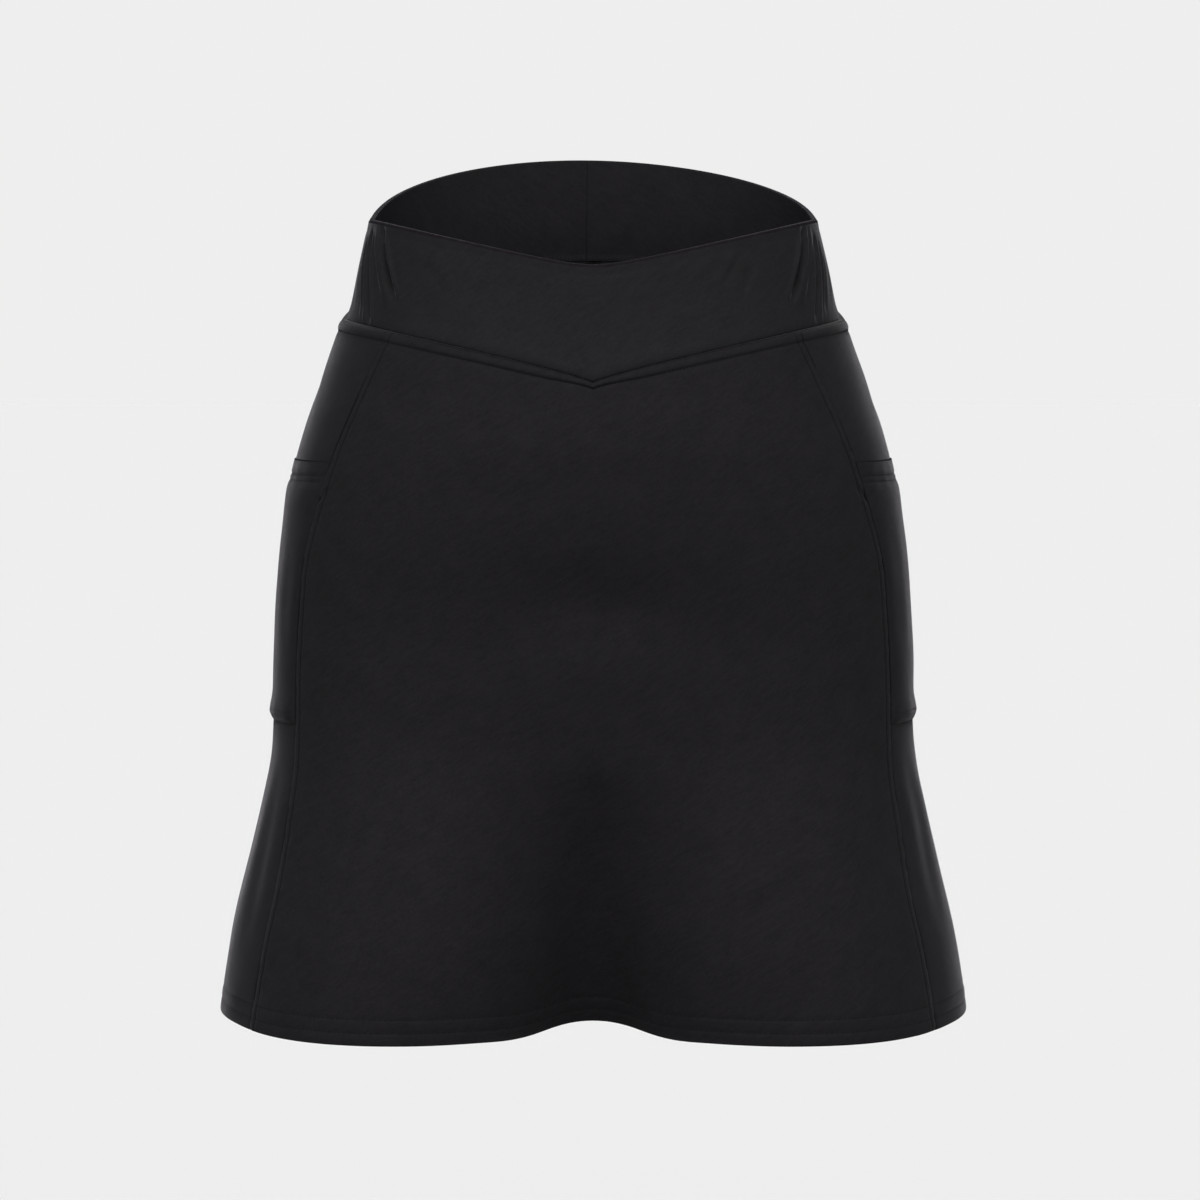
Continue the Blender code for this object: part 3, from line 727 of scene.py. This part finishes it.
def top_edge(angle):
    sine, cosine = np.abs(np.sin(np.radians(angle))), np.cos(np.radians(angle))
    soft = TOP_FRONT_SOFTNESS
    share = (np.hypot(sine, soft) - soft) / (math.hypot(1.0, soft) - soft)
    rise = -TOP_BACK_RISE * cosine * (1.0 - TOP_BACK_LEAN * np.sin(np.radians(angle)))
    return TOP_SIDE + np.where(cosine < 0.0, rise, -TOP_FRONT_DROP * (1.0 - share))


BAND_TOP_STEPS = (0.0, 1.6, 3.0, 4.6)
BAND_SEAM_STEPS = (8.0, 6.4, 5.0, 3.9, 3.0, 2.2, 1.5, 0.9, 0.45, 0.0)
BAND_MIDDLE_ROWS = 36


def band_places(first, last, even):
    """Places of a band piece's points, close together where it has its sharp folds."""
    angles = row_angles(np.array([first]), np.array([last]), lambda angle: np.zeros(1), even)
    fine = np.linspace(first, last, 3000)
    crowd = np.cumsum(1.0 + 3.6 * bell(from_front(fine) - 63.0, 13.0))
    middle = slice(len(SEAM_STEPS), len(angles) - len(SEAM_STEPS))
    start, end = np.interp(angles[[middle.start - 1, middle.stop]], fine, crowd)
    angles[middle] = np.interp(np.linspace(start, end, even + 1)[1:-1], crowd, fine)
    top, bottom = top_edge(angles), waist_seam(angles)
    high, low = top - BAND_TOP_STEPS[-1], bottom + BAND_SEAM_STEPS[0]
    heights = [top - step for step in BAND_TOP_STEPS]
    heights += [high + (low - high) * k / BAND_MIDDLE_ROWS for k in range(1, BAND_MIDDLE_ROWS)]
    heights += [bottom + step for step in BAND_SEAM_STEPS]
    return np.tile(angles, (len(heights), 1)), np.array(heights)


BAND_JERSEY = four_finishes("band_jersey", (0.0058, 0.0050, 0.0062), (0.0168, 0.0146, 0.0178),
                             0.68, 0.26, 1500.0, 1.0)
BAND_CREASES = {
    "front": (
        # on the wearer's right: two sharp folds with a ridge beside each, and soft ones round them
        (((-67, 27), (-60.5, 4), (-51.5, -20)), 1.9, 5.2),
        (((-71.5, 26), (-65, 6), (-55.5, -20)), 1.5, -1.5),
        (((-75, 24), (-68, -6), (-59.5, -38)), 1.9, 4.2),
        (((-80.5, 19), (-74.5, 0), (-66, -30)), 1.5, -1.3),
        (((-84, 12), (-80, -8), (-73, -25)), 2.6, -0.3),
        (((-46, 6), (-40, -6), (-34, -18)), 3.2, 0.3),
        # on the wearer's left
        (((66.5, 26), (60.5, 3), (51.5, -20)), 1.9, 5.2),
        (((71.5, 25), (65, 4), (55.5, -20)), 1.5, -1.5),
        (((73.5, 20), (67.5, -6), (60, -34)), 1.9, 3.7),
        (((78.5, 18), (73, 0), (66, -28)), 1.5, -1.2),
        (((80, 12), (74.5, -6), (68, -24)), 1.6, 0.7),
        (((86, 8), (82, -10), (75, -25)), 2.4, -0.35),
        (((38.6, 11.5), (34.8, -2), (30, -14.5)), 2.1, 0.6),
        (((41, 2), (38.6, -7), (35.5, -17)), 2.0, 0.5),
        (((33, 6), (28, -6), (22, -18)), 3.0, 0.22),
        (((4, -18), (2, -34), (1, -52)), 4.0, 0.25),
    ),
    "back_left": (
        (((98, 24), (104, 2), (112, -20)), 2.6, 0.9),
        (((106, 28), (112, 6), (121, -14)), 2.6, -0.6),
        (((118, 36), (126, 18), (136, 2)), 3.2, 0.45),
        (((176, 10), (170, 26), (167, 44)), 4.0, 0.3),
    ),
    "back_right": (
        (((262, 26), (257, 4), (247, -20)), 2.6, 1.0),
        (((252, 30), (246, 8), (238, -12)), 2.8, -0.55),
        (((236, 40), (231, 22), (222, 6)), 3.4, 0.4),
        (((188, 10), (193, 28), (195, 46)), 4.0, 0.3),
    ),
}
bands = {}
for part, first, last, even, flat, area, shift in (
        ("front", -90.0, 90.0, 400, (0.381, 0.062), 0.0208, 151.0),
        ("back_left", 90.0, BACK_SEAM_ANGLE, 130, (0.190, 0.057), 0.0099, 173.0),
        ("back_right", BACK_SEAM_ANGLE, 270.0, 130, (0.182, 0.058), 0.0097, 191.0)):
    angle, height = band_places(first, last, even)
    smooth = lifted(angle, height, -BAND_INSET)
    over_seam, under_top = height - waist_seam(angle), top_edge(angle) - height
    form = creased(smooth, BAND_CREASES[part], -BAND_INSET) + 0.3 * uneven(smooth, 30.0, shift)
    form *= np.clip(under_top / 9.0, 0.25, 1.0) * np.clip(over_seam / 6.0, 0.0, 1.0)
    away = np.minimum(angle - first, last - angle) * per_degree(angle, height)
    rise = -0.55 * np.exp(-away / 0.9) + 0.25 * bell(away - 2.6, 1.8)
    rise += -0.6 * np.exp(-over_seam / 0.7) + 0.35 * bell(over_seam - 4.0, 3.0)
    rise -= 0.15 * bell(under_top - 5.5, 1.5)
    seam_layers = 0.35 * short_of(2.6, over_seam, 0.3)
    outer = lifted(angle, height, form + rise - BAND_INSET)
    inner = lifted(angle, height, 0.85 * form - BAND_INSET - BAND_THICK - seam_layers
                   + 0.5 * np.exp(-away / 0.9))
    bands[part] = cloth_shell("band_" + part, outer, inner, (1.15, 0.35), (FOLDED, PAINTED_SEAM_SHADE))
    finish_cloth(bands[part], "waistband_" + part, BAND_JERSEY)

# ---- Inner tights ----------------------------------------
# Short close tights of the thinner lining jersey, hung from the waist seam inside the skirt. Each
# leg has a front and a back panel, and a turned-up hem.
LEG_HEM, LEG_HEM_FOLD, LEG_HEM_THICK, TIGHTS_THICK = -350.0, 18.0, 2.0, 1.2
FORK_START, FORK = -140.0, -252.0
LEG_GIRTH = 2.0 * math.pi * 96.0  # about how far it is round a leg
TRUNK = (                       # height, half width, front, back
    (10.0, 123.4, 90.2, 95.0), (-28.0, 131.8, 95.6, 104.0), (-60.0, 140.0, 100.5, 110.5),
    (-102.0, 152.5, 105.0, 117.5), (-147.0, 162.0, 104.5, 123.0), (-202.0, 166.0, 100.0, 123.0),
    (-255.0, 166.0, 96.0, 116.0),
)
LEG = (                         # height, inner, outer, middle, half depth
    (-140.0, 0.15, 166.0, 6.0, 98.0), (-252.0, 0.15, 165.0, 6.0, 96.0),
    (-350.0, 7.0, 159.0, 6.0, 85.0),
)


def tights_point(share, height, closing):
    """The tights' face on the wearer's left: share runs from the centre front round the hip to the
    centre back, and closing turns the open trunk section into the closed leg."""
    turn = np.pi * share
    depth = np.where(share < 0.5, along(TRUNK, 2, height), along(TRUNK, 3, height))
    trunk = np.stack([along(TRUNK, 1, height) * np.sin(turn), -depth * np.cos(turn), height], axis=-1)
    turn = 2.0 * np.pi * share - np.pi / 2.0
    near, far = along(LEG, 1, height), along(LEG, 2, height)
    leg = np.stack([(far + near + (far - near) * np.sin(turn)) / 2.0,
                    along(LEG, 3, height) - along(LEG, 4, height) * np.cos(turn), height], axis=-1)
    return trunk + (leg - trunk) * closing[..., None]


LEG_HEM_ROWS_START = 19.5
TIGHTS_ROWS = [("trunk", k / 22.0) for k in range(22)]
TIGHTS_ROWS += [("fork", 1.0 - (1.0 - k / 26.0) ** 1.6) for k in range(27)]
TIGHTS_ROWS += [("leg", k / 18.0) for k in range(1, 18)]
TIGHTS_ROWS += [("hem", x) for x in (LEG_HEM_ROWS_START, 18.6, 18.0, 17.4, 16.4, 14.0, 10.8, 9.8, 9.0,
                                     8.2, 6.0, 3.0, 1.2, 0.0)]


def tights_place(share, row):
    kind, amount = row
    zero = np.zeros_like(share)
    if kind == "trunk":
        top = waist_seam(180.0 * share) + SEAM_OVERLAP
        return top + (FORK_START - top) * amount, zero
    if kind == "fork":
        return zero + FORK_START + (FORK - FORK_START) * amount, zero + amount ** 3.0
    if kind == "leg":
        return zero + FORK + (LEG_HEM + LEG_HEM_ROWS_START - FORK) * amount, zero + 1.0
    return zero + LEG_HEM + amount, zero + 1.0


def tights_grid(share):
    return np.array([tights_point(share, *tights_place(share, row)) for row in TIGHTS_ROWS])


TIGHTS_JERSEY = four_finishes("tights_jersey", (0.0048, 0.0046, 0.0052), (0.0150, 0.0142, 0.0155),
                               0.70, 0.06, 1700.0, 0.5)
tights = {}
for side, mirror, shift in (("left", 1.0, 211.0), ("right", -1.0, 233.0)):
    for half in ("front", "back"):
        overlap = SEAM_OVERLAP / LEG_GIRTH
        share = np.linspace(0.0002, 0.5 + overlap, 44)
        if half == "back":
            share = 1.0 - share[::-1]
        outer = tights_grid(share)
        ways = tights_grid(share + 0.004) - tights_grid(share - 0.004)
        falls = np.concatenate([outer[1:], outer[-1:]]) - np.concatenate([outer[:1], outer[:-1]])
        inward = np.cross(ways, falls)
        inward /= np.linalg.norm(inward, axis=-1, keepdims=True)
        above = outer[..., 2] - LEG_HEM
        folded = short_of(LEG_HEM_FOLD + 0.6, above, 0.5)
        edge = np.minimum(share - share[0], share[-1] - share) * LEG_GIRTH
        under_waist = waist_seam(180.0 * share) - outer[..., 2]
        calm = np.clip(edge / 12.0, 0.0, 1.0) * np.clip(under_waist / 20.0, 0.0, 1.0)
        swell = 0.5 * uneven(outer, 36.0, shift) * calm
        rise = swell - 0.35 * np.exp(-edge / 0.9)
        rise -= 0.3 * (bell(above - LEG_HEM_FOLD, 0.8) + bell(above - LEG_HEM_FOLD / 2.0, 0.8))
        wave = np.sin(2.0 * np.pi * share * LEG_GIRTH / 11.0 + 4.0 * uneven(outer, 50.0, 1.0))
        rise += 0.14 * wave * bell(above - 13.0, 8.0)
        thick = TIGHTS_THICK + (LEG_HEM_THICK - TIGHTS_THICK) * folded
        inner = outer + inward * (thick - swell)[..., None]
        outer = outer - inward * rise[..., None]
        if mirror < 0:
            outer, inner = outer[:, ::-1] * (-1.0, 1.0, 1.0), inner[:, ::-1] * (-1.0, 1.0, 1.0)
        name = half + "_" + side
        tights[name] = cloth_shell("tights_" + name, outer, inner, (0.3, 0.7))
        flat, area = ((0.281, 0.347), 0.0721) if half == "front" else ((0.281, 0.424), 0.0809)
        finish_cloth(tights[name], "shorts_" + name, TIGHTS_JERSEY)

# ---- Stitches --------------------------------------------
# Textured nylon thread, sunk a little into the jersey: one row beside each princess seam, two
# coverstitched rows round the hem and each leg of the tights, short bar stitches along the corded
# ridge, and the rows of the pockets and of the waist seam inside.
THREAD = bpy.data.materials.new("thread")
THREAD.use_nodes = True
nodes, links = THREAD.node_tree.nodes, THREAD.node_tree.links
twist = nodes.new("ShaderNodeTexWave")
twist.inputs["Scale"].default_value = 900.0
twist.inputs["Distortion"].default_value = 1.5
where = nodes.new("ShaderNodeTexCoord")
links.new(where.outputs["Object"], twist.inputs["Vector"])
two_tone(nodes, links, (0.0045, 0.0040, 0.0046), (0.0125, 0.0112, 0.0128), twist.outputs["Fac"])
shader = nodes["Principled BSDF"]
shader.inputs["Roughness"].default_value = 0.75
shader.inputs["Specular IOR Level"].default_value = 0.1

bpy.ops.object.select_all(action="DESELECT")
bpy.ops.mesh.primitive_uv_sphere_add(segments=6, ring_count=5, radius=1.0)
bead = bpy.context.object
BEAD_POINTS = np.array([v.co for v in bead.data.vertices])
BEAD_FACES = [tuple(face.vertices) for face in bead.data.polygons]
bpy.data.objects.remove(bead)


def sewn_row(cloth, line, ways, pitch, length, thick, turn=0.0, sink=0.1):
    """Stitches of one row: equal steps along a line of points beside a piece of cloth, each set
    down on it against the way given there."""
    tree = BVHTree.FromObject(cloth, bpy.context.evaluated_depsgraph_get())
    run = np.concatenate([[0.0], np.cumsum(np.linalg.norm(np.diff(line, axis=0), axis=-1))])
    steps = np.arange(pitch * 0.6, run[-1] - pitch * 0.4, pitch)

    def at(values, places):
        return np.stack([np.interp(places, run, values[:, k]) for k in range(3)], axis=-1)

    stitches = []
    for point, ahead, way in zip(at(line, steps), at(line, steps + 0.5), at(ways, steps)):
        way = Vector(way).normalized()
        spot, normal, _, _ = tree.ray_cast(Vector(point) * MM + way * 0.012, -way)
        if spot is None:
            continue
        forward = Vector(ahead - point).normalized()
        side = normal.cross(forward).normalized()
        forward = Matrix.Rotation(math.radians(turn), 3, normal) @ side.cross(normal)
        side = normal.cross(forward)
        shape = np.array([forward * length / 2.0, side * thick / 2.0, normal * thick / 2.0]) * MM
        stitches.append(BEAD_POINTS[:, [2, 0, 1]] @ shape + np.array(spot - normal * sink * MM))
    return stitches


def round_body(angles, heights, face=1.0):
    """A line round the skirt's form and the ways out of it, or into it where face is -1."""
    return ring(angles, heights), face * outward(angles, heights)


def thread_piece(name, stitches):
    mesh = bpy.data.meshes.new(name)
    count = len(BEAD_POINTS)
    faces = [tuple(k + n * count for k in face) for n in range(len(stitches)) for face in BEAD_FACES]
    mesh.from_pydata(np.concatenate(stitches).tolist(), [], faces)
    mesh.shade_smooth()
    mesh.materials.append(THREAD)
    piece = bpy.data.objects.new(name, mesh)
    bpy.context.scene.collection.objects.link(piece)
    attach(piece, "root")
    return piece


def seam_line(seam, offset, top, bottom):
    """A line beside a seam, offset millimetres round the body from it."""
    heights = np.linspace(top, bottom, 160)
    angles = seam(heights)
    return round_body(angles + offset / per_degree(angles, heights), heights)


def row_line(panel, row, short):
    """A line along a row of a panel, stopping this many degrees short of its seams."""
    first, last = (crossing(seam, row)[0] for seam in PANEL_SEAMS[panel])
    angles = np.linspace(first + short, last - short, 240)
    return round_body(angles, skirt_height(angles, row))


SEAM_STITCHES_END = -386.0      # they stop above the hem's fold
RIDGE_STITCHES = 5.35           # below the waist seam
beside_seams, hem_rows, ridge_rows = [], [], []
under_ridge = ("below", 9.0)
for panel in TOPSTITCHED:
    for seam, offset in zip(PANEL_SEAMS[panel], (TOPSTITCH, -TOPSTITCH)):
        top = float(skirt_height(crossing(seam, under_ridge), under_ridge)[0])
        line = seam_line(seam, offset, top, SEAM_STITCHES_END)
        beside_seams += sewn_row(panels[panel], *line, 2.9, 2.2, 0.5)

for panel, cloth in panels.items():
    for above in (HEM_FOLD, HEM_FOLD - HEM_GAUGE):
        hem_rows += sewn_row(cloth, *row_line(panel, ("above", above), 0.4), 3.0, 2.2, 0.55)
    line = row_line(panel, ("below", RIDGE_STITCHES), 0.5)
    ridge_rows += sewn_row(cloth, *line, 2.05, 1.7, 0.42, turn=78.0, sink=0.0)

pocket_rows = []
for side, pocket in pockets.items():
    first, last = PANEL_SEAMS[side]
    for height in (*(POCKET_TOP - below for below in MOUTH_STITCHES), POCKET_BOTTOM + BOTTOM_STITCHES):
        start, end = first(height), last(height)
        angles = np.linspace(start + 0.7, end - 0.7, 160)
        line = round_body(angles, np.full(160, height))
        pocket_rows += sewn_row(pocket, *line, 2.9, 2.2, 0.5)

waist_rows = []
for part, first, last in (("back_left", 95.0, BACK_SEAM_ANGLE - 1.0),
                          ("back_right", BACK_SEAM_ANGLE + 1.0, 265.0), ("front", -86.0, 86.0)):
    angles = np.linspace(first, last, 240)
    for above, length, turn in ((1.2, 1.9, 62.0), (2.6, 2.5, 0.0)):
        line = round_body(angles, waist_seam(angles) + above, -1.0)
        waist_rows += sewn_row(bands[part], *line, 2.3, length, 0.4, turn=turn)

tights_rows = []
for name, cloth in tights.items():
    share = np.linspace(0.003, 0.497, 240) + (0.5 if name.startswith("back") else 0.0)
    mirror = (-1.0, 1.0, 1.0) if name.endswith("right") else (1.0, 1.0, 1.0)
    for above in (LEG_HEM_FOLD, LEG_HEM_FOLD / 2.0):
        line = tights_point(share, *tights_place(share, ("hem", above)))
        way = np.gradient(line, axis=0)
        way_out = np.stack([way[:, 1], -way[:, 0], np.zeros(len(way))], axis=-1)
        tights_rows += sewn_row(cloth, line * mirror, way_out * mirror, 3.0, 2.2, 0.5)

thread_piece("waist_stitches", waist_rows)
thread_piece("princess_stitches", beside_seams)
thread_piece("hem_stitches", hem_rows)
thread_piece("ridge_stitches", ridge_rows)
thread_piece("pocket_stitches", pocket_rows)
thread_piece("tights_stitches", tights_rows)
